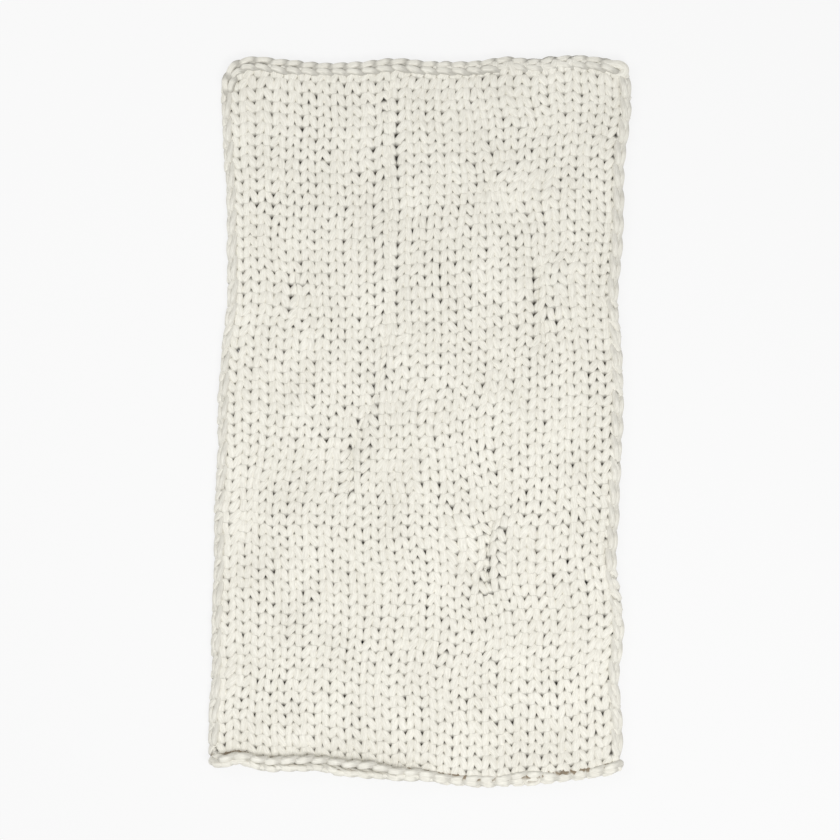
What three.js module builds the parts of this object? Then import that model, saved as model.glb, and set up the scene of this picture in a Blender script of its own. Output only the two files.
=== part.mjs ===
import * as THREE from 'three';

// A weighted blanket, hand-knitted in one piece from thick cotton cord and laid out flat.
// Millimetres. +X runs across it, +Y towards its bound-off top edge, +Z up from the surface
// it lies on. The knit face is up, and the cast-on bottom edge curls up over the face.

// The knit: each stitch is two cords deep, and they nest a little into each other
const cordDiameter = 17.5;
const clothThickness = 1.83 * cordDiameter;
const flatCourses = 62;
const waleCount = 27;

// Points across the face, three to two wales, and across the back
const facePoints = Math.round(waleCount * 1.5) + 1;
const backPoints = 21;

// Side edges, where the stitches roll under, one bump to two courses
const sideRoll = 15;
const leftBump = 6;
const rightBump = 4;

// Top edge: the bound-off chain lies on the cloth as a low bead
const beadWidth = 42;
const beadCrest = 17;
const beadHeight = 5;

// Bottom edge: the curl's radius is taken at the middle of the cloth
const curlRadius = 18;
const curlSteps = 6;
const curledEdgeThickness = 1.55 * cordDiameter;

// Corner rounding
const topLeftCorner = 34;
const topRightCorner = 14;
const bottomLeftCorner = 12;
const bottomRightCorner = 30;

// Outer reach of the two side edges at each height, from the bottom up
const sideEdges = [
  { y: -900, left: -522, right: 500 },
  { y: -770, left: -525, right: 507 },
  { y: -650, left: -518, right: 499 },
  { y: -520, left: -517, right: 510 },
  { y: -390, left: -512, right: 492 },
  { y: -260, left: -511, right: 498 },
  { y: -110, left: -504, right: 504 },
  { y: 50, left: -500, right: 509 },
  { y: 180, left: -492, right: 505 },
  { y: 300, left: -478, right: 495 },
  { y: 430, left: -480, right: 507 },
  { y: 560, left: -480, right: 511 },
  { y: 670, left: -488, right: 514 },
  { y: 740, left: -491, right: 526 },
  { y: 860, left: -492, right: 530 },
  { y: 920, left: -489, right: 526 },
];

// Outer reach of the top edge
const topEdge = [
  { x: -500, y: 904 },
  { x: -430, y: 911 },
  { x: -350, y: 903 },
  { x: -235, y: 896 },
  { x: -140, y: 898 },
  { x: -60, y: 906 },
  { x: 30, y: 899 },
  { x: 150, y: 901 },
  { x: 215, y: 907 },
  { x: 290, y: 906 },
  { x: 365, y: 917 },
  { x: 450, y: 908 },
  { x: 530, y: 894 },
];

// Outer reach of the curled bottom edge, and how far round it curls, in degrees
const bottomEdge = [
  { x: -525, y: -868, curl: 120 },
  { x: -450, y: -858, curl: 110 },
  { x: -390, y: -876, curl: 135 },
  { x: -270, y: -878, curl: 140 },
  { x: -170, y: -892, curl: 150 },
  { x: -60, y: -902, curl: 135 },
  { x: 60, y: -909, curl: 105 },
  { x: 160, y: -918, curl: 115 },
  { x: 290, y: -913, curl: 115 },
  { x: 370, y: -908, curl: 100 },
  { x: 450, y: -899, curl: 115 },
  { x: 510, y: -884, curl: 105 },
];

// Folds where the cloth buckles, each along a line from (x0, y0) to (x1, y1). The flanks are
// how far the fold spreads to the left and right of that line, looking from start to end.
const folds = [
  { name: 'centre ridge, left', x0: -118, y0: 780, x1: -112, y1: 290, left: 46, right: 26, height: 8 },
  { name: 'centre ridge, right', x0: -45, y0: 840, x1: -62, y1: 250, left: 26, right: 60, height: 10 },
  { name: 'centre ridge, lower', x0: -62, y0: 250, x1: -40, y1: -120, left: 50, right: 50, height: 6 },
  { name: 'left pinch', x0: -300, y0: 430, x1: -285, y1: 240, left: 26, right: 48, height: 12 },
  { name: 'upper right bulge', x0: 205, y0: 650, x1: 232, y1: 545, left: 60, right: 34, height: 13 },
  { name: 'right ridge', x0: 345, y0: 450, x1: 332, y1: 200, left: 55, right: 30, height: 14 },
  { name: 'middle ridge', x0: -92, y0: 90, x1: -148, y1: -175, left: 60, right: 28, height: 15 },
  { name: 'lower right ridge', x0: 212, y0: -200, x1: 190, y1: -465, left: 75, right: 27, height: 21 },
  { name: 'lower left ridge', x0: -215, y0: -350, x1: -345, y1: -590, left: 60, right: 45, height: 10 },
  { name: 'lower left bulge', x0: -262, y0: -505, x1: -290, y1: -590, left: 55, right: 40, height: 7 },
  { name: 'lower centre bulge', x0: 55, y0: -470, x1: 80, y1: -620, left: 60, right: 60, height: 10 },
];
const foldEndFade = 0.3;          // share of a fold's length over which it rises from each end
const foldLiftStart = 8;          // a lower fold only bunches the knit, a higher one lifts it off the surface

const degrees = Math.PI / 180;
const halfThickness = clothThickness / 2;
const lerp = THREE.MathUtils.lerp;
const clamp = THREE.MathUtils.clamp;

// A smooth curve through one column of a table
function throughTable(rows, along, column) {
  const places = rows.map((row) => row[along]);
  const values = rows.map((row) => row[column]);
  const curve = new THREE.CubicInterpolant(places, values, 1);
  return (place) => curve.evaluate(clamp(place, places[0], places.at(-1)))[0];
}

const leftAt = throughTable(sideEdges, 'y', 'left');
const rightAt = throughTable(sideEdges, 'y', 'right');
const topAt = throughTable(topEdge, 'x', 'y');
const bottomAt = throughTable(bottomEdge, 'x', 'y');
const curlAt = throughTable(bottomEdge, 'x', 'curl');

// A round hump from 1 at 0 down to 0 at 1
const hump = (t) => (t < 1 ? 0.5 + 0.5 * Math.cos(Math.PI * t) : 0);

// How high one fold stands over the flat cloth at a point
function foldHeight(fold, x, y) {
  const length = Math.hypot(fold.x1 - fold.x0, fold.y1 - fold.y0);
  const dirX = (fold.x1 - fold.x0) / length;
  const dirY = (fold.y1 - fold.y0) / length;
  const along = ((x - fold.x0) * dirX + (y - fold.y0) * dirY) / length;
  const across = dirX * (y - fold.y0) - dirY * (x - fold.x0);
  const flank = across > 0 ? fold.left : fold.right;
  const fromEnd = Math.min(along, 1 - along) / foldEndFade;
  return fold.height * hump(Math.abs(across) / flank) * hump(clamp(1 - fromEnd, 0, 1));
}

// Height of all folds at a point
function foldsAt(x, y) {
  return folds.reduce((sum, fold) => sum + foldHeight(fold, x, y), 0);
}

// How far a side edge is drawn in by a rounded corner, a distance away from the end edge
function cornerInset(radius, fromEnd) {
  const d = clamp(radius - fromEnd, 0, radius);
  return radius - Math.sqrt(radius * radius - d * d);
}

// The rows, from the top edge down. share runs over the flat cloth, round over a rounded end,
// turn over the curl, and bump is 1 where the side edges bulge and 0 where they dip.
const rows = [
  { share: 0, round: 80, turn: 0, bump: 0.5 },
  { share: 0, round: 45, turn: 0, bump: 0.5 },
  { share: 0, round: 0, turn: 0, bump: 0.5 },
  { share: 0.5 / flatCourses, round: 0, turn: 0, bump: 0.5 },
];
for (let course = 1; course <= flatCourses; course += 1) {
  rows.push({ share: course / flatCourses, round: 0, turn: 0, bump: course % 2 });
}
for (let step = 1; step <= curlSteps; step += 1) {
  rows.push({ share: 1, round: 0, turn: step / curlSteps, bump: 0.5 });
}
rows.push({ share: 1, round: 50, turn: 1, bump: 0.5 });
rows.push({ share: 1, round: 80, turn: 1, bump: 0.5 });

// Middle of the cloth, its half thickness and its face's direction, for one row at a share across
function clothAt(row, share) {
  // The sides' places are read at the row's rough height
  const roughX = lerp(leftAt(0), rightAt(0), share);
  const roughY = lerp(topAt(roughX), bottomAt(roughX), row.share);
  const fromTopEnd = topAt(roughX) - roughY;
  const fromBottomEnd = roughY - bottomAt(roughX);
  const left = leftAt(roughY) + leftBump * (1 - row.bump) + sideRoll
    + cornerInset(topLeftCorner, fromTopEnd) + cornerInset(bottomLeftCorner, fromBottomEnd);
  const right = rightAt(roughY) - rightBump * (1 - row.bump) - sideRoll
    - cornerInset(topRightCorner, fromTopEnd) - cornerInset(bottomRightCorner, fromBottomEnd);
  const x = lerp(left, right, share);

  // The flat cloth runs from the rounded top end to where the curl starts
  const flatTop = topAt(x) - halfThickness;
  const flatBottom = bottomAt(x) + curlRadius + halfThickness;
  let y = lerp(flatTop, flatBottom, row.share);
  const fold = foldsAt(x, y);
  const bead = beadHeight * hump(Math.abs(flatTop - y - beadCrest) / (beadWidth - beadCrest));
  const under = Math.max(0, fold - foldLiftStart);
  const over = clothThickness + fold + bead;
  let z = (over + under) / 2;
  let half = (over - under) / 2;

  // The curl turns the cloth up and over, thinning towards the cast-on edge
  const angle = row.turn * curlAt(x) * degrees;
  half = lerp(half, curledEdgeThickness / 2, row.turn);
  y -= curlRadius * Math.sin(angle);
  z += curlRadius * (1 - Math.cos(angle));

  // A rounded end goes on past the last full row as its thickness closes
  const endAngle = row.round * degrees;
  const onward = half * Math.sin(endAngle) * (row.turn > 0 ? 1 : -1);
  y -= onward * Math.cos(angle);
  z += onward * Math.sin(angle);
  half *= Math.cos(endAngle);
  return { x, y, z, half, faceY: Math.sin(angle), faceZ: Math.cos(angle) };
}

// A point through the cloth's thickness: side is 1 on the face and -1 on the back, out is how far
// it stands past the face's last point, to the left or right
function pointAt(row, share, side, out = 0) {
  const cloth = clothAt(row, share);
  return new THREE.Vector3(
    cloth.x + out,
    cloth.y + cloth.faceY * cloth.half * side,
    Math.max(0, cloth.z + cloth.faceZ * cloth.half * side),
  );
}

// One ring round the cloth: the face from left to right, the right edge, the back, the left edge
const edgeAngles = [50, 0, -50];
function ringAt(row) {
  const ring = [];
  for (let i = 0; i < facePoints; i += 1) {
    ring.push(pointAt(row, i / (facePoints - 1), 1));
  }
  edgeAngles.forEach((angle) => {
    ring.push(pointAt(row, 1, Math.sin(angle * degrees), sideRoll * Math.cos(angle * degrees)));
  });
  for (let i = backPoints - 1; i >= 0; i -= 1) {
    ring.push(pointAt(row, i / (backPoints - 1), -1));
  }
  edgeAngles.toReversed().forEach((angle) => {
    ring.push(pointAt(row, 0, Math.sin(angle * degrees), -sideRoll * Math.cos(angle * degrees)));
  });
  return ring;
}

// A strip that closes one end of the rings between its upper points and its lower ones,
// from the tip of the left edge to the tip of the right
function endStrip(ring) {
  const rightTip = facePoints + 1;
  const leftTip = ring.length - 2;
  const upper = [leftTip, leftTip + 1];
  for (let i = 0; i <= rightTip; i += 1) upper.push(i);
  const lower = [];
  for (let i = leftTip; i >= rightTip; i -= 1) lower.push(i);
  const strip = [];
  let u = 0;
  let l = 0;
  while (u < upper.length - 1 || l < lower.length - 1) {
    const upperIsNext = u < upper.length - 1 && ring[upper[u + 1]].x <= ring[lower[l + 1]]?.x;
    const goUpper = l === lower.length - 1 || upperIsNext;
    const face = [upper[u], lower[l], goUpper ? upper[u + 1] : lower[l + 1]];
    if (goUpper) u += 1;
    else l += 1;
    if (new Set(face).size === 3) strip.push(face);
  }
  return strip;
}

// The knitted cloth: rings from the top edge to the cast-on edge, closed at both ends
function makeBlanket() {
  const rings = rows.map(ringAt);
  const count = rings[0].length;
  const faces = [];
  for (let r = 0; r < rings.length - 1; r += 1) {
    for (let i = 0; i < count; i += 1) {
      const a = r * count + i;
      const b = r * count + ((i + 1) % count);
      faces.push([a, a + count, b], [b, a + count, b + count]);
    }
  }
  endStrip(rings[0]).forEach((face) => faces.push(face.toReversed()));
  const lastStart = (rings.length - 1) * count;
  endStrip(rings.at(-1)).forEach((face) => faces.push(face.map((i) => lastStart + i)));

  // The origin is the middle of the outline, on the surface that the blanket lies on
  const geometry = new THREE.BufferGeometry().setFromPoints(rings.flat());
  geometry.setIndex(faces.flat());
  geometry.computeBoundingBox();
  const middle = geometry.boundingBox.getCenter(new THREE.Vector3());
  geometry.translate(-middle.x, -middle.y, -geometry.boundingBox.min.z);
  geometry.computeVertexNormals();
  return geometry;
}

const cottonCord = new THREE.MeshStandardMaterial({ color: 0xedebdf, roughness: 0.9, metalness: 0 });

const model = new THREE.Group();
const blanket = new THREE.Mesh(makeBlanket(), cottonCord);
blanket.name = 'blanket';
model.add(blanket);

export default model;
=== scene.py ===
import math

import bpy
import numpy as np
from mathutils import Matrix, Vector


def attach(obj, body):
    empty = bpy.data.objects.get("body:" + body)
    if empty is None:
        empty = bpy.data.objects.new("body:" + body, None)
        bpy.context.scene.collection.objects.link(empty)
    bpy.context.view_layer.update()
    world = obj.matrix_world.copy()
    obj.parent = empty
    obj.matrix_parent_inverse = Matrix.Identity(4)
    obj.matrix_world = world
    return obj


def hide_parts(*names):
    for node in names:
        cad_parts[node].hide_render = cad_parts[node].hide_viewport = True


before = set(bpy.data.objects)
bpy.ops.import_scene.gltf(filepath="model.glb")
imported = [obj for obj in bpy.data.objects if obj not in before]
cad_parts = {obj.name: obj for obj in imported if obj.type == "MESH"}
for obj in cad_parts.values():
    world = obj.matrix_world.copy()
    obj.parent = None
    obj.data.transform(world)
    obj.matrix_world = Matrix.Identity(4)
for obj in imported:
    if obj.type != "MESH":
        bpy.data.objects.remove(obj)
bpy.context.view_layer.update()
print("frame loaded")

mm = 0.001

# How the blanket lies, in millimetres from the middle of the picture, x across and y up
layout = {
    "middle": (2.5, -0.5),      # the blanket's own middle, which is the frame's origin
    "wales": 27,                # stitch columns, of which the outermost halves roll under
    "courses": 62,              # rows from the hem's crease to the bound-off edge
    "waleSpacing": 37.0,
    "courseSpacing": 28.2,
    "midHeight": 17.6,          # the cloth's middle over the surface that it lies on
}

# y, then the outer reach of the left and the right side
sideEdges = [
    (-900, -522, 500), (-770, -525, 507), (-650, -518, 499), (-520, -517, 510), (-390, -512, 492),
    (-260, -511, 498), (-110, -504, 504), (50, -500, 509), (180, -492, 505), (300, -478, 495),
    (430, -480, 507), (560, -480, 511), (670, -488, 514), (740, -491, 526), (800, -493, 529),
    (840, -489, 528), (870, -474, 524), (895, -452, 516), (920, -425, 505),
]

# x, then the outer reach of the bound-off edge
topEdge = [
    (-500, 904), (-430, 911), (-350, 903), (-235, 896), (-140, 898), (-60, 906), (30, 899),
    (150, 901), (215, 907), (290, 906), (365, 917), (450, 908), (530, 894),
]

# x, the outer reach of the hem, and the crease where it rests against the face
hemEdge = [
    (-525, -868, -836), (-485, -869, -837), (-440, -859, -829), (-395, -876, -840),
    (-322, -878, -841), (-245, -878, -839), (-172, -892, -849), (-95, -899, -858),
    (-47, -905, -870), (3, -904, -873), (40, -908, -880), (92, -912, -890), (128, -916, -888),
    (215, -916, -887), (272, -912, -880), (310, -913, -885), (365, -908, -889),
    (408, -902, -879), (445, -899, -872), (480, -892, -864), (510, -882, -861),
]

# Folds: start, end, how far each spreads left and right of that line, and its height
folds = [
    (-118, 780, -112, 290, 46, 26, 8), (-45, 840, -62, 250, 26, 60, 10),
    (-62, 250, -40, -120, 50, 50, 6), (-300, 430, -285, 240, 26, 48, 12),
    (205, 650, 232, 545, 60, 34, 13), (345, 450, 332, 200, 55, 30, 14),
    (-92, 90, -148, -175, 60, 28, 15), (212, -200, 190, -465, 75, 27, 21),
    (-215, -350, -345, -590, 60, 45, 10), (-262, -505, -290, -590, 55, 40, 7),
    (55, -470, 80, -620, 60, 60, 10),
]
foldShape = {
    "liftStart": 8.0,           # a fold lifts the cloth's middle by half up to here, then in full
    "endFade": 0.3,             # the share of its length over which each end rises
}

# Where the knit is pulled out of line: x, y, its reach and the pull, each across and along
pulls = [
    (400, -50, 600, 1200, 0, 47), (-430, 330, 250, 500, 0, -8), (-270, 300, 230, 600, 0, -5),
    (80, 480, 220, 280, 0, 12), (290, -160, 260, 260, 0, 4), (110, -400, 180, 500, 0, -10),
    (250, 170, 160, 130, 0, -9), (0, -120, 130, 200, 0, -9),
    (-400, 780, 250, 250, 9, 0), (120, 850, 220, 200, -16, 0), (-290, 760, 200, 200, 6, 0),
    (260, 830, 210, 120, -16, 0), (40, 730, 90, 110, -7, 0), (180, 635, 60, 45, 12, 0),
    (260, 550, 110, 80, -14, 0), (260, 500, 150, 110, -14, 0), (70, 420, 150, 200, -10, 0),
    (-115, 500, 60, 110, -6, 0), (-240, 110, 200, 220, 10, 0), (-250, 270, 130, 130, 9, 0),
    (-290, 300, 60, 80, 8, 0), (-290, 30, 180, 120, 7, 0), (-390, 10, 150, 180, 6, 0),
    (285, 300, 60, 120, 10, 0), (370, 290, 60, 140, -10, 0), (0, -10, 110, 130, -22, 0),
    (160, -20, 180, 150, -20, 0), (180, -130, 130, 110, -9, 0), (-40, -130, 110, 90, -18, 0),
    (-300, -260, 220, 160, -8, 0), (130, -340, 90, 110, 24, 0), (-40, -410, 160, 130, 19, 0),
    (255, -370, 70, 120, -13, 0), (300, -470, 180, 110, -11, 0), (80, -530, 260, 160, 4, 0),
    (-150, -670, 260, 160, -8, 0), (-320, -680, 130, 90, -8, 0), (310, -690, 120, 90, 6, 0),
]

# Narrow tucks, where a few stitch columns are drawn together and sink: y and x along each
tucks = [
    {"line": [(210, -83), (400, -72), (512, -77), (700, -72), (862, -78)], "drawn": 8, "sunk": 7},
    {"line": [(-220, -178), (-125, -172), (-62, -162), (-17, -147), (25, -117), (88, -100), (230, -82)],
     "drawn": 10, "sunk": 10},
    {"line": [(235, -302), (275, -297), (310, -295), (352, -309), (395, -313)], "drawn": 7, "sunk": 10},
    {"line": [(540, 159), (595, 174), (648, 187)], "drawn": 7, "sunk": 10},
    {"line": [(165, 316), (205, 316), (262, 305), (310, 299), (345, 302), (420, 311)],
     "drawn": 7, "sunk": 10},
    {"line": [(-465, 178), (-405, 172), (-350, 174), (-295, 180), (-235, 192)], "drawn": 10, "sunk": 12},
]
tuckShape = {
    "reach": 13.0,              # from its line to where the cloth is drawn in almost in full
    "tail": 180.0,              # from its line to where the pull is no longer felt
    "endFade": 50.0,            # the length over which each end deepens
    "sinkSteepness": 1.8,
}

# Single stitches that gape, or that close where the last number is below nought:
# x, y and how far the cords move apart
openings = [
    (322, 317, 7), (327, 287, 5), (205, -310, 7), (202, -345, 9), (202, -377, 7), (-462, -215, 6),
    (-462, -245, 5), (-462, -270, 5), (-466, -562, 6), (-466, -592, 5), (-466, -645, 6),
    (-57, 718, -5), (-57, 688, -5), (-57, 655, -5),
]
openingReach = {"across": 12, "along": 24}


def smoothColumn(rows, column, at):
    # a smooth curve through one column of a table
    table = np.array(rows, float)
    places, values = table[:, 0], table[:, column]
    slopes = np.gradient(values, places)
    at = np.clip(at, places[0], places[-1])
    i = np.clip(np.searchsorted(places, at) - 1, 0, len(places) - 2)
    step = places[i + 1] - places[i]
    t = (at - places[i]) / step
    return ((1 + 2 * t) * (1 - t) ** 2 * values[i] + t * (1 - t) ** 2 * step * slopes[i]
            + t * t * (3 - 2 * t) * values[i + 1] + t * t * (t - 1) * step * slopes[i + 1])


def hump(t):
    # from 1 at 0 down to 0 at 1
    return 0.5 + 0.5 * np.cos(np.pi * np.clip(np.abs(t), 0, 1))


def rise(value, start, width):
    # from 0 at the start straight up to 1, a width further on
    return np.clip((value - start) / width, 0, 1)


def blend(pair, share):
    return pair[0] + (pair[1] - pair[0]) * share


def foldsAt(x, y):
    # how high the folds rise
    total = np.zeros_like(x)
    for x0, y0, x1, y1, left, right, height in folds:
        length = math.hypot(x1 - x0, y1 - y0)
        dirX, dirY = (x1 - x0) / length, (y1 - y0) / length
        along = ((x - x0) * dirX + (y - y0) * dirY) / length
        across = dirX * (y - y0) - dirY * (x - x0)
        flank = np.where(across > 0, left, right)
        fromEnd = np.minimum(along, 1 - along) / foldShape["endFade"]
        total += height * hump(across / flank) * hump(np.clip(1 - fromEnd, 0, 1))
    return total


def pullsAt(x, y):
    # how far the knit is pulled across and along
    pullX, pullY = np.zeros_like(x), np.zeros_like(x)
    for atX, atY, reachX, reachY, moveX, moveY in pulls:
        near = hump((x - atX) / reachX) * hump((y - atY) / reachY)
        pullX += moveX * near
        pullY += moveY * near
    return pullX, pullY


def tucksAt(x, y):
    # how far the tucks draw the cloth sideways, and how far it sinks in them
    shift, sink = np.zeros_like(x), np.zeros_like(x)
    for tuck in tucks:
        line = tuck["line"]
        inner = np.minimum(y - line[0][0], line[-1][0] - y)
        strength = hump(np.clip(1 - inner / tuckShape["endFade"], 0, 1))
        away = x - smoothColumn(line, 1, y)
        near = away / tuckShape["reach"]
        shift -= tuck["drawn"] * np.tanh(near) * hump(away / tuckShape["tail"]) * strength
        sink += tuck["sunk"] * np.exp(-tuckShape["sinkSteepness"] * near ** 2) * strength
    for atX, atY, apart in openings:
        offset = (x - atX) / openingReach["across"]
        ends = hump((y - atY) / openingReach["along"])
        shift += apart * offset * np.exp(0.5 - 0.5 * offset ** 2) * ends
    return shift, sink


# The sheet that the stitches lie on. Pairs are for the left and the right.
sheetShape = {
    "roughHalf": 510.0,         # half the width before the side edges wave
    "rightFrom": (-140.0, 160.0),  # x where the left's shape ends, and how far on the right's starts
    "topInset": (28.0, 18.0),   # from the bound-off edge's outer reach to the last row
    "creaseCourse": (0.0, -0.55),  # the row that the hem's crease follows
    "shareLimits": (-0.2, 1.1),  # how far past the crease and the last row the sheet goes
    "pullSideFade": 110.0,      # the pulls fade out this near to a side
    "pullEndFade": 5.0,         # and this many rows from the hem and the top
    "topSlope": 5.0,            # how far each row past the last one hangs down
    "topDroop": 10.0,           # and how far at most
}

# How the sides roll under: from a side's outer reach to the middle of the column beside it,
# where past that middle the roll starts, its radius and its greatest tilt in radians
leftRoll = {"inset": 22.0, "start": 0.0, "radius": 8.0, "limit": 1.4}
rightRoll = {"inset": 28.0, "start": 4.0, "radius": 10.0, "limit": 1.3}

# How the hem turns up over the face, pairs as above
hemShape = {
    "rightFrom": (-60.0, 160.0),
    "start": 36.0,              # from the hem's outer reach to where it leaves the ground
    "radius": 18.0,
    "courses": (1.8, 1.25),     # rows in a full turn
    "turn": (95.0, 62.0),       # a full turn in degrees
    "turnLimit": 2.2,           # the sheet's end, in full turns
    "settle": 2.5,              # rows above the crease that are drawn down with it
    "swell": (0.0, 11.0),       # how high the rows above the crease swell,
    "swellMiddle": 0.3,         # and in which rows
    "swellReach": 2.6,
}


def rollOver(distance, roll):
    # where a cloth that rolls under gets to: across and down
    past = np.maximum(distance - roll["start"], 0)
    tilt = np.minimum(past / roll["radius"], roll["limit"])
    straight = np.maximum(past - roll["radius"] * roll["limit"], 0)
    across = np.minimum(distance, roll["start"]) + roll["radius"] * np.sin(tilt) + straight * np.cos(tilt)
    down = roll["radius"] * (1 - np.cos(tilt)) + straight * np.sin(tilt)
    return across, down


def turnHem(x, y, z, above, rightShare, outer, crease):
    # above counts the rows from the crease
    shape = hemShape
    along = rise(x, *shape["rightFrom"])
    turns = np.clip(-above / blend(shape["courses"], rightShare), 0, shape["turnLimit"])
    angle = turns * np.radians(blend(shape["turn"], along))
    z = z + blend(shape["swell"], along) * hump((above - shape["swellMiddle"]) / shape["swellReach"])
    start = outer + shape["start"]
    settled = np.clip(1 - above / shape["settle"], 0, 1)
    y = y * (1 - settled) + (start + (y - crease)) * settled
    y = np.where(above < 0, start - shape["radius"] * np.sin(angle), y)
    z = z + np.where(above < 0, shape["radius"] * (1 - np.cos(angle)), 0)
    return y, z


def toFrame(x, y, z):
    return np.stack([x - layout["middle"][0], y - layout["middle"][1], z], -1) * mm


def layCloth(wale, course):
    # the middle of the cloth at a place in the knit
    shape = sheetShape
    roughX = -shape["roughHalf"] + 2 * shape["roughHalf"] * wale / layout["wales"]
    rightShare = rise(roughX, *shape["rightFrom"])
    rightShare = rightShare * rightShare * (3 - 2 * rightShare)
    lowest = blend(shape["creaseCourse"], rightShare)
    share = np.clip((course - lowest) / (layout["courses"] - lowest), *shape["shareLimits"])
    top = smoothColumn(topEdge, 1, roughX) - blend(shape["topInset"], rightShare)
    outer = smoothColumn(hemEdge, 1, roughX)
    crease = smoothColumn(hemEdge, 2, roughX)
    y = crease + (top - crease) * share
    left = smoothColumn(sideEdges, 1, y) + leftRoll["inset"]
    right = smoothColumn(sideEdges, 2, y) - rightRoll["inset"]
    flat = (wale - 0.5) / (layout["wales"] - 1)
    pitch = (right - left) / (layout["wales"] - 1)
    x = left + (right - left) * flat
    # the pulls fade out towards the edges
    inside = (1 - hump((x - left) / shape["pullSideFade"])) * (1 - hump((right - x) / shape["pullSideFade"]))
    ends = rise(np.minimum(course - lowest, layout["courses"] - course), 0, shape["pullEndFade"])
    pullX, pullY = pullsAt(x, y)
    x, y = x + pullX * inside, y + pullY * ends
    drawn, sunk = tucksAt(x, y)
    x = x + drawn
    leftWay, leftDown = rollOver((0.5 - wale) * pitch, leftRoll)
    rightWay, rightDown = rollOver((wale - layout["wales"] + 0.5) * pitch, rightRoll)
    x = np.where(wale < 0.5, left - leftWay, x)
    x = np.where(wale > layout["wales"] - 0.5, right + rightWay, x)
    fold = foldsAt(x, y)
    lifted = (fold + np.maximum(0, fold - foldShape["liftStart"])) / 2
    z = layout["midHeight"] + lifted - sunk - leftDown - rightDown
    y, z = turnHem(x, y, z, course - lowest, rightShare, outer, crease)
    past = np.maximum(course - layout["courses"], 0)
    return toFrame(x, y, z - np.minimum(past * shape["topSlope"], shape["topDroop"]))


# A sheet's map holds its places in the knit, scaled to lie between 0 and 1
placeScale = 1 / 80
placeShift = 0.1
widthLimits = (0.96, 1.3)


def addObject(name, data):
    thing = bpy.data.objects.new(name, data)
    bpy.context.scene.collection.objects.link(thing)
    return thing


def storeOnPoints(mesh, name, kind, values):
    layer = mesh.attributes.new(name, kind, "POINT")
    key = "vector" if kind == "FLOAT_VECTOR" else "value"
    layer.data.foreach_set(key, np.asarray(values, np.float32).reshape(-1))


def gridFaces(rows, columns, closed=False):
    # the quads between the points of a grid, whose rows may close into rings
    across = columns if closed else columns - 1
    return [(r * columns + c, r * columns + (c + 1) % columns,
             (r + 1) * columns + (c + 1) % columns, (r + 1) * columns + c)
            for r in range(rows - 1) for c in range(across)]


def makeSheet(name, lay, alongs, acrosses, facing=1, stitchWidth=None):
    # a guide mesh whose points know their place in the knit, which way the cloth faces
    # and how wide the stitches are drawn there
    u, v = np.meshgrid(np.array(alongs, float), np.array(acrosses, float))
    small = 0.02
    overU = lay(u + small, v) - lay(u - small, v)
    overV = lay(u, v + small) - lay(u, v - small)
    up = np.cross(overU, overV) * facing
    up /= np.linalg.norm(up, axis=-1, keepdims=True)
    width = np.ones_like(u)
    if stitchWidth:
        width = np.clip(np.linalg.norm(overU, axis=-1) / (2 * small * stitchWidth), *widthLimits)
    mesh = bpy.data.meshes.new(name)
    mesh.from_pydata(lay(u, v).reshape(-1, 3).tolist(), [], gridFaces(*u.shape))
    place = np.stack([u * placeScale + placeShift, v * placeScale + placeShift, u * 0], -1)
    storeOnPoints(mesh, "clothPlace", "FLOAT_VECTOR", place)
    storeOnPoints(mesh, "clothUp", "FLOAT_VECTOR", up)
    storeOnPoints(mesh, "clothWidth", "FLOAT", width)
    return addObject(name, mesh)


# Node helpers

def plug(tree, socket, value):
    if isinstance(value, bpy.types.NodeSocket):
        tree.links.new(value, socket)
    else:
        socket.default_value = value


def addNode(tree, kind, values=(), **settings):
    node = tree.nodes.new(kind)
    for key, value in settings.items():
        setattr(node, key, value)
    for socket, value in values:
        plug(tree, node.inputs[socket], value)
    return node


def calc(tree, operation, *values):
    node = tree.nodes.new("ShaderNodeMath")
    node.operation = operation
    for socket, value in zip(node.inputs, values):
        plug(tree, socket, value)
    return node.outputs[0]


def times(tree, first, second):
    return calc(tree, "MULTIPLY", first, second)


def plus(tree, first, second):
    return calc(tree, "ADD", first, second)


def minus(tree, first, second):
    return calc(tree, "SUBTRACT", first, second)


def vectorCalc(tree, operation, *values):
    node = tree.nodes.new("ShaderNodeVectorMath")
    node.operation = operation
    sockets = [node.inputs[0], node.inputs["Scale"]] if operation == "SCALE" else node.inputs
    for socket, value in zip(sockets, values):
        plug(tree, socket, value)
    return node.outputs["Value"] if operation == "DOT_PRODUCT" else node.outputs[0]


def wave(tree, kind, t, count):
    # a sine or cosine that runs so many times in each turn of t
    return calc(tree, kind, times(tree, t, float(count)))


def joinXyz(tree, x, y, z):
    return addNode(tree, "ShaderNodeCombineXYZ", [("X", x), ("Y", y), ("Z", z)]).outputs[0]


def splitXyz(tree, vector):
    return addNode(tree, "ShaderNodeSeparateXYZ", [("Vector", vector)]).outputs


def mapRange(tree, value, start, end, toStart=0.0, toEnd=1.0, kind="LINEAR"):
    return addNode(tree, "ShaderNodeMapRange", [
        ("Value", value), ("From Min", start), ("From Max", end), ("To Min", toStart), ("To Max", toEnd)],
        interpolation_type=kind).outputs[0]


def addNoise(tree, vector, scale, detail=0.0, roughness=0.5):
    return addNode(tree, "ShaderNodeTexNoise", [
        ("Vector", vector), ("Scale", scale), ("Detail", detail), ("Roughness", roughness)]).outputs


def noiseShift(tree, vector, amount, *noise):
    # a smooth random vector about nought
    centred = vectorCalc(tree, "SUBTRACT", addNoise(tree, vector, *noise)["Color"], (0.5, 0.5, 0.5))
    return vectorCalc(tree, "SCALE", centred, amount)


def readStored(tree, name, kind="FLOAT_VECTOR"):
    return addNode(tree, "GeometryNodeInputNamedAttribute", [("Name", name)], data_type=kind).outputs[0]


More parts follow.
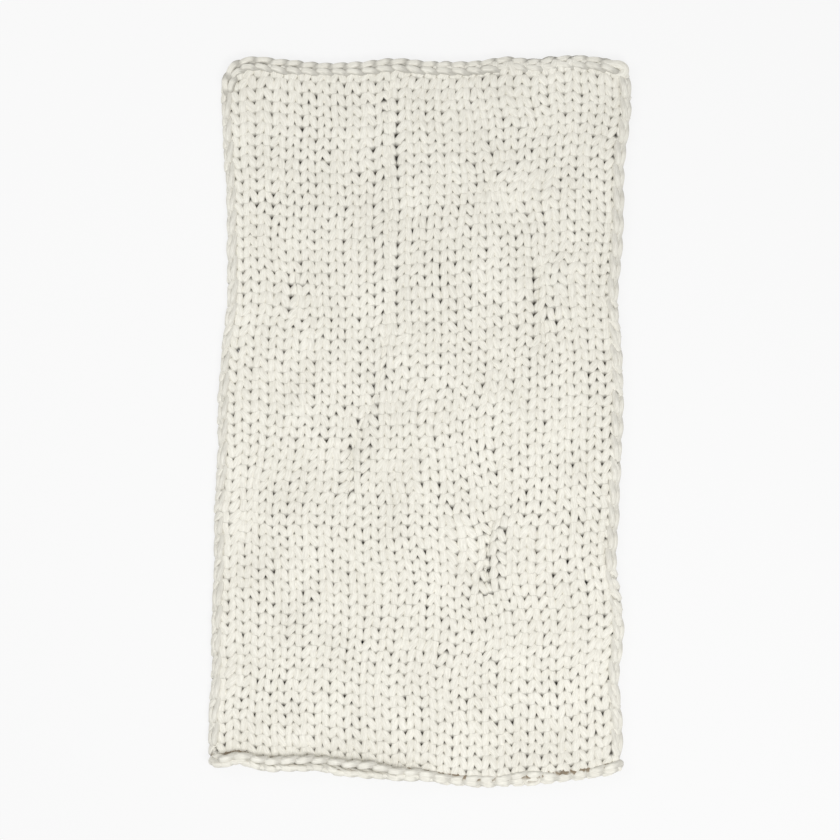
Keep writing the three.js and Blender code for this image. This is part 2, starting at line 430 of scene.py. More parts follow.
def store(tree, geometry, name, value, kind="FLOAT"):
    return addNode(tree, "GeometryNodeStoreNamedAttribute", [
        ("Geometry", geometry), ("Name", name), ("Value", value)],
        data_type=kind, domain="POINT").outputs[0]


def sampleSheet(tree, sheet, place, value, kind="FLOAT_VECTOR"):
    # what a guide sheet holds at a place in the knit
    return addNode(tree, "GeometryNodeSampleUVSurface", [
        ("Mesh", sheet), ("Value", value), ("Source UV Map", readStored(tree, "clothPlace")),
        ("Sample UV", place)], data_type=kind).outputs[0]


def floats(*names):
    return [(name, "Float") for name in names]


def startTree(name, inputs):
    tree = bpy.data.node_groups.new(name, "GeometryNodeTree")
    for inputName, kind in inputs:
        tree.interface.new_socket(name=inputName, in_out="INPUT", socket_type="NodeSocket" + kind)
    tree.interface.new_socket(name="Geometry", in_out="OUTPUT", socket_type="NodeSocketGeometry")
    return tree, tree.nodes.new("NodeGroupInput").outputs


def endTree(tree, geometry):
    tree.links.new(geometry, tree.nodes.new("NodeGroupOutput").inputs["Geometry"])


cordInputs = [("Cloth", "Object"), ("Cord sides", "Int"), ("Seed", "Int")] + floats(
    "Cord radius", "Cord flatness", "Wobble", "Wobble size", "Drift")
# the Shade and Crease inputs carry painted shade, for the gaps and for the hem's crease
layInputs = cordInputs + [("Geometry", "Geometry"), ("Place", "Vector")] + floats(
    "Height", "Shade", "Crease", "Thickness")
pieceInputs = cordInputs + [("Material", "Material"), ("Front lean", "Float")]

# What all cords have in common
cordForm = {
    "seedShift": (0.0, 0.0, 7.3),  # how far apart two seeds look in the noise
    "wobbleNoise": (1.0, 1.0, 0.4),  # the noise's scale, detail and roughness
    "driftSize": 0.23,          # the drift is far coarser than the wobble
    "restingRadius": 1.18,      # how high a cord's middle stays, in radii, before it is flattened
    "restingSoftness": 2 * mm,
    "unevenSize": 0.8,          # how the thickness varies: the noise's scale,
    "unevenNoise": (0.3, 0.7),  # its values where the cord is thinnest and thickest,
    "unevenScale": (0.95, 1.04),  # and the thickness there
    "fullness": (1.65, 1.0),    # of the flattened cord, at its sides and on its face
    "gapHeights": (11.0 * mm, 9.9 * mm),  # where the gaps' painted shade starts and where it is full
    "creaseFacing": (0.1, 0.5),  # how far a cord faces out, likewise for the crease's painted shade
}


def wander(tree, given, raised):
    # neighbouring cords move together, so gaps between them open and close
    form = cordForm
    seedShift = vectorCalc(tree, "SCALE", form["seedShift"], given["Seed"])
    for size, amount in ((given["Wobble size"], given["Wobble"]), (form["driftSize"], given["Drift"])):
        around = vectorCalc(tree, "ADD", vectorCalc(tree, "SCALE", given["Place"], size), seedShift)
        raised = vectorCalc(tree, "ADD", raised, noiseShift(tree, around, amount, *form["wobbleNoise"]))
    uneven = addNoise(tree, vectorCalc(tree, "ADD", given["Place"], seedShift), form["unevenSize"])
    return raised, mapRange(tree, uneven[0], *form["unevenNoise"], *form["unevenScale"])


def restOnGround(tree, given, raised, facing, width):
    # no cord sinks below the surface that the blanket lies on
    split = splitXyz(tree, raised)
    upward = calc(tree, "ABSOLUTE", splitXyz(tree, facing)["Z"])
    thinner = times(tree, upward, minus(tree, 1.0, given["Cord flatness"]))
    radius = times(tree, given["Cord radius"], width)
    depth = times(tree, radius, minus(tree, cordForm["restingRadius"], thinner))
    resting = calc(tree, "SMOOTH_MAX", split["Z"], depth, cordForm["restingSoftness"])
    return joinXyz(tree, split["X"], split["Y"], resting)


def makeTube(tree, given, curve, facing, scale):
    # a round tube along the curve, and what its points know about the cord's middle
    kept = tree.nodes.new("GeometryNodeCaptureAttribute")
    captured = [("VECTOR", "Facing", facing)]
    captured += [("FLOAT", name, given[name]) for name in ("Height", "Shade", "Crease")]
    plug(tree, kept.inputs[0], curve)
    for kind, name, value in captured:
        kept.capture_items.new(kind, name)
        plug(tree, kept.inputs[name], value)
    profile = addNode(tree, "GeometryNodeCurvePrimitiveCircle", [
        ("Resolution", given["Cord sides"]), ("Radius", given["Cord radius"])]).outputs["Curve"]
    around = vectorCalc(tree, "NORMALIZE", tree.nodes.new("GeometryNodeInputPosition").outputs[0])
    marked = store(tree, profile, "cordRound", around, "FLOAT_VECTOR")
    tube = addNode(tree, "GeometryNodeCurveToMesh", [
        ("Curve", kept.outputs[0]), ("Profile Curve", marked), ("Scale", scale), ("Fill Caps", True)])
    return tube.outputs[0], kept.outputs


def pressTube(tree, given, tube, kept):
    # the soft cord is flattened the way the cloth faces; painted shade darkens it deep in the cloth
    side = vectorCalc(tree, "NORMALIZE", kept["Facing"])
    normal = tree.nodes.new("GeometryNodeInputNormal").outputs[0]
    outward = vectorCalc(tree, "DOT_PRODUCT", normal, side)
    atSides, onFace = cordForm["fullness"]
    squared = calc(tree, "POWER", calc(tree, "ABSOLUTE", outward), 2.0)
    fuller = calc(tree, "MULTIPLY_ADD", squared, onFace - atSides, atSides)
    reach = times(tree, outward, given["Cord radius"])
    flattened = times(tree, times(tree, reach, given["Cord flatness"]), fuller)
    fromMiddle = calc(tree, "ABSOLUTE", plus(tree, flattened, kept["Height"]))
    inGap = mapRange(tree, fromMiddle, *cordForm["gapHeights"], kind="SMOOTHSTEP")
    inCrease = mapRange(tree, outward, *cordForm["creaseFacing"])
    # painted shade for the gaps between the cords
    tube = store(tree, tube, "paintedGapShade", times(tree, inGap, kept["Shade"]))
    # painted shade for the inside of the hem's crease
    tube = store(tree, tube, "paintedCreaseShade", times(tree, kept["Crease"], inCrease))
    pressed = vectorCalc(tree, "SCALE", side, minus(tree, flattened, reach))
    tube = addNode(tree, "GeometryNodeSetPosition", [("Geometry", tube), ("Offset", pressed)]).outputs[0]
    return addNode(tree, "GeometryNodeSetShadeSmooth", [("Geometry", tube)]).outputs[0]


def makeLayGroup():
    # lays a curve on the cloth by its place in the knit, and makes it a soft cord
    tree, given = startTree("layCordOnCloth", layInputs)
    sheet = addNode(tree, "GeometryNodeObjectInfo", [("Object", given["Cloth"])]).outputs["Geometry"]
    place = vectorCalc(tree, "MULTIPLY_ADD", given["Place"], (placeScale,) * 3, (placeShift,) * 3)
    position = tree.nodes.new("GeometryNodeInputPosition").outputs[0]
    onSheet = sampleSheet(tree, sheet, place, position)
    facing = sampleSheet(tree, sheet, place, readStored(tree, "clothUp"))
    width = sampleSheet(tree, sheet, place, readStored(tree, "clothWidth", "FLOAT"), "FLOAT")
    lifted = vectorCalc(tree, "SCALE", vectorCalc(tree, "NORMALIZE", facing), given["Height"])
    raised, uneven = wander(tree, given, vectorCalc(tree, "ADD", onSheet, lifted))
    laid = restOnGround(tree, given, raised, facing, width)
    curve = addNode(tree, "GeometryNodeSetPosition", [
        ("Geometry", given["Geometry"]), ("Position", laid)]).outputs[0]
    curve = store(tree, curve, "cordLength", addNode(tree, "GeometryNodeSplineParameter").outputs["Length"])
    # where the stitches are drawn wide, the soft cord fills them
    scale = times(tree, times(tree, uneven, width), given["Thickness"])
    tube, kept = makeTube(tree, given, curve, facing, scale)
    endTree(tree, pressTube(tree, given, tube, kept))
    return tree


def layCord(tree, group, given, own):
    # the end of both trees: lay the cord, realize it and give it its material
    laid = addNode(tree, "GeometryNodeGroup", node_tree=group)
    for name, kind in cordInputs:
        plug(tree, laid.inputs[name], given[name])
    for name, value in own.items():
        plug(tree, laid.inputs[name], value)
    real = addNode(tree, "GeometryNodeRealizeInstances", [("Geometry", laid.outputs[0])]).outputs[0]
    endTree(tree, addNode(tree, "GeometryNodeSetMaterial", [
        ("Geometry", real), ("Material", given["Material"])]).outputs[0])


def steppedCurve(tree, count):
    # a line of that many points, whose indices say how far along the cord each is
    line = addNode(tree, "GeometryNodeMeshLine", [("Count", count), ("Offset", (mm, 0, 0))]).outputs[0]
    return addNode(tree, "GeometryNodeMeshToCurve", [("Mesh", line)]).outputs[0]


# How a stitch is formed
stitchForm = {
    "trimSteps": 2,             # steps left out at either end of a row
    "levelling": -0.2,          # how flat a leg lies on the face
    "varietyScale": (1.0, 3.7, 1.9),  # by stitch, row and seed
    "varietySize": 1.3,
    "heightVariety": 0.4,
    "regionScale": (0.2, 0.13, 2.6),  # by stitch and row, in regions whose stitches lean one way
    "topFade": (62.6, 62.0),    # rows where the gaps' painted shade ends, at the top and at the hem
    "hemFade": (-1.6, -1.2),
    "creaseColumns": (9.8, 14.0),  # stitch columns over which the crease moves to its right-hand row
    "creaseRows": (-0.22, -0.40),  # rows from the crease where its painted shade starts and is full
}


def shadeKnit(tree, given, stitch, v):
    # painted shade darkens the gaps but at the edges, and browns the inside of the hem's crease
    top = mapRange(tree, v, *stitchForm["topFade"])
    hem = mapRange(tree, v, *stitchForm["hemFade"])
    lowest = mapRange(tree, stitch, *stitchForm["creaseColumns"], *sheetShape["creaseCourse"], "SMOOTHSTEP")
    above = minus(tree, v, lowest)
    crease = mapRange(tree, above, *stitchForm["creaseRows"], 0.0, given["Painted crease shade"])
    return times(tree, top, hem), crease


def makeKnitTree(group):
    # stockinette: one cord for each row, its loops hooked through the row below
    tree, given = startTree("knitRows", pieceInputs + [
        ("First row", "Int"), ("Rows", "Int"), ("Wales", "Int"), ("Stitch steps", "Int")] + floats(
        "Leg spread", "Loop height", "Loop depth", "Leg parting", "Fullness", "Stitch variety",
        "Skew", "Region skew", "Painted crease shade"))
    form = stitchForm
    points = calc(tree, "MULTIPLY_ADD", given["Wales"], given["Stitch steps"], 1.0)
    line = steppedCurve(tree, minus(tree, points, 2.0 * form["trimSteps"]))
    rows = addNode(tree, "GeometryNodeDuplicateElements", [
        ("Geometry", line), ("Amount", given["Rows"])], domain="SPLINE").outputs
    index = tree.nodes.new("GeometryNodeSplineParameter").outputs["Index"]
    row = plus(tree, plus(tree, given["First row"], rows["Duplicate Index"]), 0.5)
    step = plus(tree, index, float(form["trimSteps"]))
    stitch = calc(tree, "DIVIDE", step, given["Stitch steps"])
    t = times(tree, plus(tree, stitch, 0.5), 2 * math.pi)
    cosT, cosT2 = wave(tree, "COSINE", t, 1), wave(tree, "COSINE", t, 2)

    # no two stitches are pulled alike
    where = vectorCalc(tree, "MULTIPLY", joinXyz(tree, stitch, row, given["Seed"]), form["varietyScale"])
    own = splitXyz(tree, noiseShift(tree, where, given["Stitch variety"], form["varietySize"]))
    spread = times(tree, given["Leg spread"], plus(tree, own["X"], 1.0))
    taller = calc(tree, "MULTIPLY_ADD", own["Y"], form["heightVariety"], 1.0)
    height = times(tree, given["Loop height"], taller)
    where = vectorCalc(tree, "MULTIPLY", joinXyz(tree, stitch, row, 1.0), form["regionScale"])
    region = addNoise(tree, where, 1.0)[0]
    regionLean = times(tree, minus(tree, region, 0.5), given["Region skew"])
    ownLean = calc(tree, "MULTIPLY_ADD", own["Z"], given["Skew"], regionLean)

    leaning = times(tree, ownLean, cosT)
    sideways = calc(tree, "MULTIPLY_ADD", spread, wave(tree, "SINE", t, 2), leaning)
    parting = times(tree, given["Leg parting"], wave(tree, "SINE", t, 1))
    sideways = minus(tree, sideways, parting)
    u = calc(tree, "MULTIPLY_ADD", sideways, 1 / (layout["waleSpacing"] * mm), stitch)
    loop = times(tree, calc(tree, "DIVIDE", height, layout["courseSpacing"] * mm), cosT)
    v = minus(tree, row, loop)
    # the legs lie level on the face, and dive to the back between them
    forward = minus(tree, cosT, wave(tree, "COSINE", t, 3))
    lean = times(tree, given["Front lean"], forward)
    level = calc(tree, "MULTIPLY_ADD", wave(tree, "COSINE", t, 6), form["levelling"], cosT2)
    h = minus(tree, lean, times(tree, given["Loop depth"], level))
    thickness = minus(tree, 1.0, times(tree, given["Fullness"], cosT2))
    shade, crease = shadeKnit(tree, given, stitch, v)
    layCord(tree, group, given, {
        "Geometry": rows["Geometry"], "Place": joinXyz(tree, u, v, 0.0), "Height": h,
        "Shade": shade, "Crease": crease, "Thickness": thickness})
    return tree


# How a chain's link is formed
linkForm = {
    "varietySize": 0.9,
    "seedShift": 3.1,
    "swing": 0.25,              # how far its strands run ahead of their turn
    "backSwing": 0.15,
    "shoulder": 0.12,           # how full its sides are
}


def makeChainTree(group):
    # a chain of slipped loops, each drawn through the one before it
    tree, given = startTree("edgeChain", pieceInputs + [("Links", "Int"), ("Link steps", "Int")] + floats(
        "First link", "Link spacing", "Link reach", "Link depth", "Link variety", "Link taper",
        "Painted gap shade"))
    curve = steppedCurve(tree, calc(tree, "MULTIPLY_ADD", given["Links"], given["Link steps"], 1.0))
    index = tree.nodes.new("GeometryNodeSplineParameter").outputs["Index"]
    link = calc(tree, "DIVIDE", index, given["Link steps"])
    t = times(tree, link, 2 * math.pi)
    sinT, sinT2 = wave(tree, "SINE", t, 1), wave(tree, "SINE", t, 2)
    cosT = wave(tree, "COSINE", t, 1)
    where = joinXyz(tree, link, times(tree, given["Seed"], linkForm["seedShift"]), 0.0)
    own = splitXyz(tree, noiseShift(tree, where, given["Link variety"], linkForm["varietySize"]))
    reach = calc(tree, "DIVIDE", given["Link reach"], given["Link spacing"])
    reach = times(tree, reach, plus(tree, own["X"], 1.0))
    start = plus(tree, given["First link"], link)
    u = plus(tree, start, times(tree, sinT, linkForm["swing"]))
    u = calc(tree, "MULTIPLY_ADD", sinT2, linkForm["backSwing"], u)
    u = minus(tree, u, times(tree, reach, cosT))
    width = plus(tree, own["Y"], 1.0)
    # each loop is narrow where it comes through the last one, and wide at its head
    fuller = calc(tree, "MULTIPLY_ADD", wave(tree, "SINE", t, 3), linkForm["shoulder"], sinT)
    tapered = times(tree, sinT2, given["Link taper"])
    v = times(tree, width, minus(tree, fuller, tapered))
    forward = minus(tree, cosT, wave(tree, "COSINE", t, 3))
    lean = times(tree, given["Front lean"], forward)
    deep = times(tree, given["Link depth"], wave(tree, "COSINE", t, 2))
    layCord(tree, group, given, {
        "Geometry": curve, "Place": joinXyz(tree, u, v, 0.0), "Height": minus(tree, lean, deep),
        "Shade": given["Painted gap shade"], "Crease": 0.0, "Thickness": 1.0})
    return tree


def runTree(name, tree, settings):
    # one piece: evaluate the tree on an empty mesh, and keep the result as a plain mesh
    piece = addObject(name, bpy.data.meshes.new(name))
    modifier = piece.modifiers.new("nodes", "NODES")
    modifier.node_group = tree
    sockets = {item.name: item.identifier for item in tree.interface.items_tree
               if item.item_type == "SOCKET" and item.in_out == "INPUT"}
    for key, value in settings.items():
        modifier[sockets[key]] = value
    depsgraph = bpy.context.evaluated_depsgraph_get()
    made = bpy.data.meshes.new_from_object(
        piece.evaluated_get(depsgraph), preserve_all_data_layers=True, depsgraph=depsgraph)
    piece.modifiers.clear()
    piece.data = made
    made.name = name
    print(name, countTriangles(made), "triangles")
    return piece


def countTriangles(mesh):
    return sum(len(polygon.vertices) - 2 for polygon in mesh.polygons)


# The cord: a soft tube of fine cotton jersey
cotton = {
    "light": (0.960, 0.940, 0.858, 1),
    "dark": (0.715, 0.690, 0.610, 1),
    # painted shade deep in the knit's gaps
    "gap": (0.036, 0.028, 0.018, 1),
    # painted shade inside the hem's crease
    "crease": (0.205, 0.150, 0.088, 1),
    "surface": {"Roughness": 0.9, "Specular IOR Level": 0.25, "Sheen Weight": 0.12, "Sheen Roughness": 0.5},
    "ribCount": 24,
    "ribPitch": 2.6 * mm,
    "ribFullness": 0.6,
    "ribSlant": 1.6,            # how far its small stitches run ahead in the middle of a rib
    "stitchRelief": (0.25, 0.75),  # how high those stand, and on what
    "ribBump": 0.35,
    "ribDepth": 0.4 * mm,
    "cloudScale": 9.0,
    "cloudNoise": (0.3, 0.7),
    "streakScale": (3.4, 3.4, 70.0),  # around the cord and along it
    "streakNoise": (0.35, 0.65),
    "weights": (0.2, 0.3, 0.5),  # of the ribs' painted shade, the clouds and the streaks in the colour
    "gapStrength": 0.97,
}


def readAttribute(tree, name, output="Fac"):
    return addNode(tree, "ShaderNodeAttribute", attribute_name=name).outputs[output]


def mixColours(tree, factor, first, second):
    mix = addNode(tree, "ShaderNodeMix", data_type="RGBA")
    colours = [socket for socket in mix.inputs if socket.type == "RGBA"]
    for socket, value in zip([mix.inputs["Factor"]] + colours, (factor, first, second)):
        plug(tree, socket, value)
    return next(socket for socket in mix.outputs if socket.type == "RGBA")


def startMaterial(name, surface):
    material = bpy.data.materials.new(name)
    material.use_nodes = True
    shader = material.node_tree.nodes["Principled BSDF"]
    for socket, value in surface.items():
        shader.inputs[socket].default_value = value
    return material, material.node_tree, shader


def makeCottonCord():
    material, tree, shader = startMaterial("cottonCord", cotton["surface"])
    # ribs that run along the cord, with their small stitches, their grooves painted darker as shade
    length = readAttribute(tree, "cordLength")
    sides = splitXyz(tree, readAttribute(tree, "cordRound", "Vector"))
    around = calc(tree, "ARCTAN2", sides["Y"], sides["X"])
    rib = wave(tree, "SINE", around, cotton["ribCount"])
    ribHeight = calc(tree, "POWER", calc(tree, "MULTIPLY_ADD", rib, 0.5, 0.5), cotton["ribFullness"])
    turns = times(tree, length, 2 * math.pi / cotton["ribPitch"])
    phase = calc(tree, "MULTIPLY_ADD", calc(tree, "ABSOLUTE", rib), cotton["ribSlant"], turns)
    stitch = calc(tree, "MULTIPLY_ADD", calc(tree, "SINE", phase), *cotton["stitchRelief"])
    jersey = times(tree, ribHeight, stitch)
    bump = addNode(tree, "ShaderNodeBump", [
        ("Height", jersey), ("Strength", cotton["ribBump"]), ("Distance", cotton["ribDepth"])]).outputs[0]
    tree.links.new(bump, shader.inputs["Normal"])
    coords = addNode(tree, "ShaderNodeTexCoord").outputs["Object"]
    clouds = mapRange(tree, addNoise(tree, coords, cotton["cloudScale"], 3.0, 0.6)[0], *cotton["cloudNoise"])
    # the jersey's surface is streaked along the cord
    along = vectorCalc(
        tree, "MULTIPLY", joinXyz(tree, sides["X"], sides["Y"], length), cotton["streakScale"])
    streaks = mapRange(tree, addNoise(tree, along, 1.0, 2.0)[0], *cotton["streakNoise"])
    ribWeight, cloudWeight, streakWeight = cotton["weights"]
    shade = calc(tree, "MULTIPLY_ADD", jersey, ribWeight, times(tree, clouds, cloudWeight))
    shade = calc(tree, "MULTIPLY_ADD", streaks, streakWeight, shade)
    colour = mixColours(tree, shade, cotton["dark"], cotton["light"])
    # painted shade deep in the gaps
    inGap = times(tree, readAttribute(tree, "paintedGapShade"), cotton["gapStrength"])
    colour = mixColours(tree, inGap, colour, cotton["gap"])
    # painted shade, brown, inside the hem's crease
    colour = mixColours(tree, readAttribute(tree, "paintedCreaseShade"), colour, cotton["crease"])
    tree.links.new(colour, shader.inputs["Base Color"])
    return material


cottonCord = makeCottonCord()
layGroup = makeLayGroup()

# The knitted cloth
knit = {
    "Wales": layout["wales"], "Stitch steps": 22, "Cord sides": 12, "Cord radius": 9.6 * mm,
    "Cord flatness": 0.80, "Fullness": 0.12, "Leg spread": 8.0 * mm, "Loop height": 24.0 * mm,
    "Loop depth": 9.2 * mm, "Front lean": 0.45 * mm, "Leg parting": 0.5 * mm,
    "Stitch variety": 0.85, "Skew": 14.0 * mm, "Region skew": 26.0 * mm, "Painted crease shade": 0.9,
    "Wobble": 10.5 * mm, "Wobble size": 0.75, "Drift": 12.0 * mm, "Seed": 4,
    "Material": cottonCord,
}
# The first row and the number of rows in each piece
knitBands = [(-2, 11), (9, 11), (20, 11), (31, 11), (42, 10), (52, 10)]

# The guide sheet's stitches and rows, closer together where the cloth curls
sheetWales = [-1 + i / 10 for i in range(20)] + [1 + i / 2 for i in range(50)] + [
    26 + i / 10 for i in range(16)]
sheetCourses = [-3.4 + i * 0.15 for i in range(26)] + [0.5 + i / 2 for i in range(123)] + [
    62 + i / 4 for i in range(13)]
clothSheet = makeSheet("clothSheet", layCloth, sheetWales, sheetCourses, 1, layout["waleSpacing"] * mm)
print("sheet laid")

knitTree = makeKnitTree(layGroup)
pieces = []
for number, (firstRow, rowCount) in enumerate(knitBands, 1):
    band = {**knit, "First row": firstRow, "Rows": rowCount, "Cloth": clothSheet}
    pieces.append(runTree("knitRows%d" % number, knitTree, band))

# How a chain lies on its path, in links
chainEnds = {
    "first": 0.6,               # the first link's place
    "spare": 0.65,              # what is left over for both ends
    "past": 1,                  # how far its guide ribbon goes on past either end
    "reach": 3,                 # and how far across, in half widths
}


def ribbonValue(setting, x):
    return setting(x) if callable(setting) else setting


def pathRibbon(path, spacing, ribbon):
    # a ribbon for a chain: along counts its links, across is 1 at the middle of the outer strand
    line = np.array(path, float)
    line = np.concatenate([line[:1] * 3 - line[1:2] * 2, line, line[-1:] * 3 - line[-2:-1] * 2])
    steps = np.hypot(*np.diff(line, axis=0).T)
    reached = np.concatenate([[0], np.cumsum(steps)]) - steps[0]
    length = reached[-2]
    links = int(length / spacing - chainEnds["spare"])
    spacing = length / (links + chainEnds["spare"])
    table = np.stack([reached, line[:, 0], line[:, 1]], 1)
    near = 2.0

    def lay(along, across):
        s = along * spacing
        x, y = smoothColumn(table, 1, s), smoothColumn(table, 2, s)
        aheadX = smoothColumn(table, 1, s + near) - smoothColumn(table, 1, s - near)
        aheadY = smoothColumn(table, 2, s + near) - smoothColumn(table, 2, s - near)
        size = np.maximum(np.hypot(aheadX, aheadY), 1e-6)
        outX, outY = -aheadY / size * ribbon["facing"], aheadX / size * ribbon["facing"]
        height = ribbonValue(ribbon["height"], x)
        half = ribbonValue(ribbon["half"], x)
        tilt = np.radians(ribbon["tilt"])
        sideX = x + outX * across * half * np.cos(tilt)
        sideY = y + outY * across * half * np.cos(tilt)
        return toFrame(sideX, sideY, height - across * half * np.sin(tilt))

    return lay, links, spacing


def makeChain(name, settings, tree, path, ribbon):
    lay, links, spacing = pathRibbon(path, settings["Link spacing"] / mm, ribbon)
    past, reach = chainEnds["past"], chainEnds["reach"]
    alongs = np.arange(-past, links + 2 * past + 0.01, 0.25)
    acrosses = np.arange(-reach, reach + 0.1, 0.5)
    guide = makeSheet(name + "Ribbon", lay, alongs, acrosses, ribbon["facing"])
    chain = runTree(name, tree, {
        **settings, "Cloth": guide, "Links": links, "Link spacing": spacing * mm})
    bpy.data.objects.remove(guide)
    return chain


chainTree = makeChainTree(layGroup)

# What all chains have in common
anyChain = {
    "Link spacing": 37.6 * mm, "Link variety": 0.4, "Link steps": 24, "Cord sides": 12,
    "Cord flatness": 0.85, "Wobble": 5.0 * mm, "Wobble size": 0.8, "Drift": 4.0 * mm,
    "Material": cottonCord, "First link": chainEnds["first"],
}

# The bound-off edge. Its path has x and y of the chain's middle, and its ribbon the height there,
# half the width, the outward tilt in degrees and on which side of the path the outside is.
topChain = {
    **anyChain, "Link reach": 29.0 * mm, "Link depth": 4.6 * mm, "Link taper": 0.26,
    "Painted gap shade": 0.38, "Cord radius": 9.0 * mm, "Front lean": 1.4 * mm, "Seed": 11,
}
topPath = [
    (-471, 800), (-474, 826), (-471, 851), (-459, 872), (-438, 884), (-410, 888), (-350, 881),
    (-235, 874), (-140, 876), (-60, 884), (30, 877), (150, 879), (215, 886), (290, 882), (365, 892),
    (450, 887), (498, 876),
]
topRibbon = {"height": 23.0, "half": 11.0, "tilt": 22.0, "facing": 1}
pieces.append(makeChain("boundOffEdge", topChain, chainTree, topPath, topRibbon))

# The curled edge, which lies lower at the right
hemChain = {
    **anyChain, "Link reach": 25.0 * mm, "Link depth": 5.0 * mm, "Link taper": 0.12,
    "Painted gap shade": 0.25, "Cord radius": 8.6 * mm, "Front lean": 1.5 * mm, "Seed": 23,
}
hemBand = {
    "ends": (-517, 500),
    "raise": 5.5,               # from halfway between the outer reach and the crease to its middle
    "rightFrom": (200, 120),    # x where it starts to rise further, and over how far
    "rightSlope": 18,           # millimetres of x for each one of rise
    "height": (49.0, 38.0),
    "strandInset": 8.0,
}


def hemMiddle(x, outer, crease):
    leftEnd, rightEnd = hemBand["ends"]
    start, width = hemBand["rightFrom"]
    further = min(max(x - start, 0), width) / hemBand["rightSlope"]
    return max(min(x, rightEnd), leftEnd), (outer + crease) / 2 + hemBand["raise"] + further


def hemHeight(x):
    return blend(hemBand["height"], rise(x, *hemShape["rightFrom"]))


def hemHalf(x):
    return (smoothColumn(hemEdge, 2, x) - smoothColumn(hemEdge, 1, x)) / 2 - hemBand["strandInset"]


hemPath = [hemMiddle(*row) for row in hemEdge]
hemRibbon = {"height": hemHeight, "half": hemHalf, "tilt": 12.0, "facing": -1}
pieces.append(makeChain("castOnEdge", hemChain, chainTree, hemPath, hemRibbon))

# The selvedges: each loop there spans two rows
sideChain = {
    **anyChain, "Link spacing": 56.4 * mm, "Link reach": 34.0 * mm, "Link depth": 4.0 * mm,
    "Link taper": 0.3, "Painted gap shade": 0.15, "Cord sides": 10, "Cord flatness": 0.9, "Front lean": 1.5 * mm,
}
selvedges = [
    {"name": "leftSelvedge", "column": 1, "inset": 14.5, "from": -850, "to": 812,
     "own": {"Cord radius": 7.4 * mm, "Seed": 31},
     "ribbon": {"height": 23.0, "half": 7.5, "tilt": 45.0, "facing": 1}},
    {"name": "rightSelvedge", "column": 2, "inset": -14.5, "from": -866, "to": 862,
     "own": {"Cord radius": 8.4 * mm, "Seed": 37},
     "ribbon": {"height": 23.0, "half": 8.5, "tilt": 38.0, "facing": -1}},
]
selvedgePoints = 50
for selvedge in selvedges:
    placesY = np.linspace(selvedge["from"], selvedge["to"], selvedgePoints)
    placesX = smoothColumn(sideEdges, selvedge["column"], placesY) + selvedge["inset"]
    sidePath = np.stack([placesX, placesY], 1)
    pieces.append(makeChain(
        selvedge["name"], {**sideChain, **selvedge["own"]}, chainTree, sidePath, selvedge["ribbon"]))
bpy.data.objects.remove(clothSheet)
print("edges laid")

# Ends of the cord, wrapped round the corners: x, y, height and radius along each
cordEnds = {
    "topRightEnd": [
        (440, 880, 24, 9), (475, 886, 25, 11), (500, 886, 25, 12), (512, 876, 25, 12.5),
        (508, 863, 25, 12.5), (492, 861, 23, 12), (468, 864, 17, 9)],
    "bottomLeftEnd": [
        (-466, -842, 30, 7), (-484, -843, 38, 9), (-502, -841, 38, 9.5), (-515, -848, 30, 9.5),
        (-518, -860, 20, 8.5)],
    "bottomRightEnd": [
        (455, -868, 30, 7), (478, -866, 36, 8.5), (494, -866, 34, 9), (503, -873, 26, 8)],
}
cordEndMesh = {"sides": 14, "ringsPerStep": 12, "smallestEnd": 0.01}


def makeCordEnd(name, rows):
    # a short cord on its own, through the rows of a table, with rounded ends
    table = np.array([(i,) + row for i, row in enumerate(rows)], float)
    steps = len(rows) - 1
    t = np.linspace(0, steps, cordEndMesh["ringsPerStep"] * steps + 1)
    line = np.stack([smoothColumn(table, column, t) for column in (1, 2, 3)], -1)
    radius = smoothColumn(table, 4, t)
    ahead = np.gradient(line, axis=0)
    ahead /= np.linalg.norm(ahead, axis=1, keepdims=True)
    reached = np.concatenate([[0], np.cumsum(np.linalg.norm(np.diff(line, axis=0), axis=1))])
    fromEnd = np.minimum(np.minimum(reached, reached[-1] - reached) / radius, 1)
    radius = radius * np.sqrt(np.clip(1 - (1 - fromEnd) ** 2, cordEndMesh["smallestEnd"], 1))
    across = np.cross(ahead, (0, 0, 1))
    across /= np.linalg.norm(across, axis=1, keepdims=True)
    above = np.cross(across, ahead)
    sides, rings = cordEndMesh["sides"], len(t)
    angles = 2 * np.pi * np.arange(sides) / sides
    circle = np.stack([np.cos(angles), np.sin(angles), 0 * angles], -1)
    outward = circle[:, :1] * across[:, None] + circle[:, 1:2] * above[:, None]
    points = line[:, None] + radius[:, None, None] * outward
    faces = gridFaces(rings, sides, closed=True)
    faces.append(tuple(reversed(range(sides))))
    faces.append(tuple(range((rings - 1) * sides, rings * sides)))
    mesh = bpy.data.meshes.new(name)
    mesh.from_pydata(toFrame(*points.reshape(-1, 3).T).tolist(), [], faces)
    mesh.polygons.foreach_set("use_smooth", [True] * len(faces))
    storeOnPoints(mesh, "cordRound", "FLOAT_VECTOR", np.tile(circle, (rings, 1)))
    storeOnPoints(mesh, "cordLength", "FLOAT", np.repeat(reached * mm, sides))
    mesh.materials.append(cottonCord)
    print(name, countTriangles(mesh), "triangles")
    return addObject(name, mesh)


for endName, endRows in cordEnds.items():
    pieces.append(makeCordEnd(endName, endRows))
print("cord ends laid")

print("triangles in all", sum(countTriangles(piece.data) for piece in pieces))
for piece in pieces:
    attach(piece, "root")
    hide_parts("blanket")
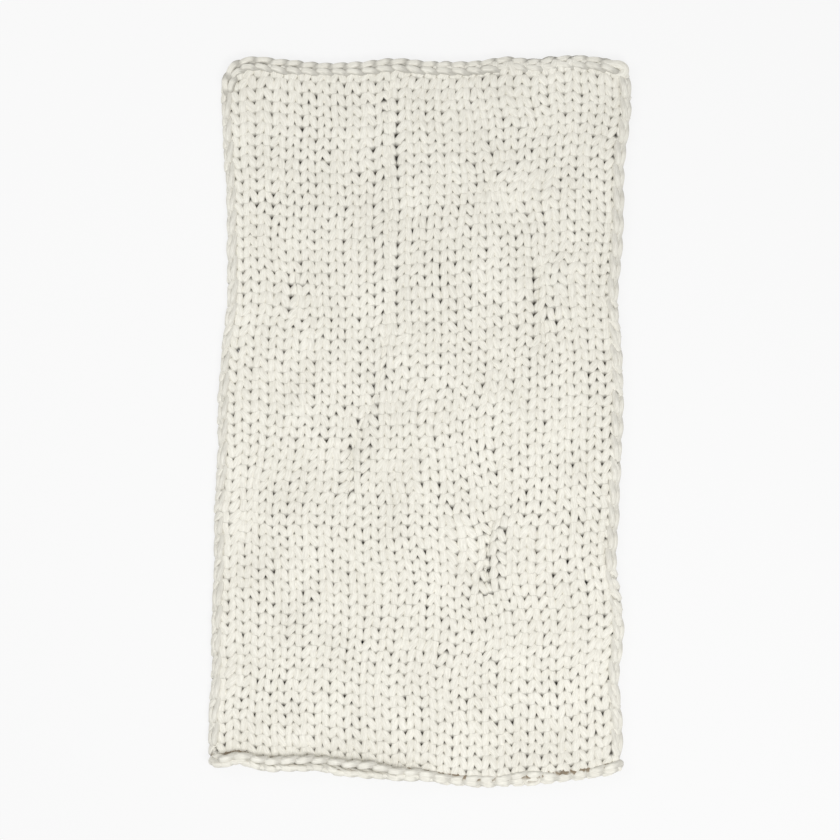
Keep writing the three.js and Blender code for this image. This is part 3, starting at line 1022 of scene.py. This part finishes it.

# Plain pale floor, glowing evenly all round the blanket; beneath it the glow stops, a painted shadow
studio = {
    "floorHalf": 6.0,
    "floorDepth": -1 * mm,
    "paper": {"Base Color": (0.15, 0.15, 0.15, 1), "Roughness": 1.0, "Specular IOR Level": 0.0,
              "Emission Color": (1, 1, 1, 1)},
    "floorGlow": 0.80,
    "paintedShadowHalf": {"X": 0.44, "Y": 0.83},
    "glowEdge": 0.03,
    "world": 0.55,
    "lights": [
        ("keyLight", (0.9, -1.5, 3.6), 2.0, 66.0),
        ("fillLight", (-2.0, 1.2, 3.4), 3.0, 35.0),
    ],
    "cameraPlace": (0, 0.0005, 5.0),
    "sharpHeight": 0.02,        # the height at which the picture's side is measured
    "pictureSide": 2.1,         # metres across the picture there
    "sensor": 36,
}


def makePaper():
    material, tree, shader = startMaterial("paper", studio["paper"])
    ground = splitXyz(tree, addNode(tree, "ShaderNodeTexCoord").outputs["Object"])
    # the floor glows but not beneath the blanket, where its dark is a painted shadow
    beyond = [minus(tree, calc(tree, "ABSOLUTE", ground[axis]), half)
              for axis, half in studio["paintedShadowHalf"].items()]
    glow = mapRange(tree, calc(tree, "MAXIMUM", *beyond), 0.0, studio["glowEdge"], 0.0, studio["floorGlow"])
    tree.links.new(glow, shader.inputs["Emission Strength"])
    return material


def makeFloor():
    half, depth = studio["floorHalf"], studio["floorDepth"]
    mesh = bpy.data.meshes.new("floor")
    corners = [(-half, -half, depth), (half, -half, depth), (half, half, depth), (-half, half, depth)]
    mesh.from_pydata(corners, [], [(0, 1, 2, 3)])
    mesh.materials.append(makePaper())
    return addObject("floor", mesh)


def addSoftLight(name, place, size, energy):
    # a round lamp that faces the middle of the blanket
    light = bpy.data.lights.new(name, "AREA")
    light.shape = "DISK"
    light.size = size
    light.energy = energy
    lamp = addObject(name, light)
    lamp.location = place
    lamp.rotation_euler = (-Vector(place)).to_track_quat("-Z", "Y").to_euler()


def addCamera():
    # straight above, so far up that the blanket looks as flat as in the photo
    camera = bpy.data.cameras.new("camera")
    camera.sensor_width = studio["sensor"]
    distance = studio["cameraPlace"][2] - studio["sharpHeight"]
    camera.lens = studio["sensor"] * distance / studio["pictureSide"]
    bpy.context.scene.camera = addObject("camera", camera)
    bpy.context.scene.camera.location = studio["cameraPlace"]


makeFloor()
for lightSettings in studio["lights"]:
    addSoftLight(*lightSettings)
world = bpy.data.worlds.new("studio")
world.use_nodes = True
world.node_tree.nodes["Background"].inputs["Color"].default_value = (1, 1, 1, 1)
world.node_tree.nodes["Background"].inputs["Strength"].default_value = studio["world"]
bpy.context.scene.world = world
bpy.context.scene.view_settings.view_transform = "Standard"
addCamera()
print("stage set")
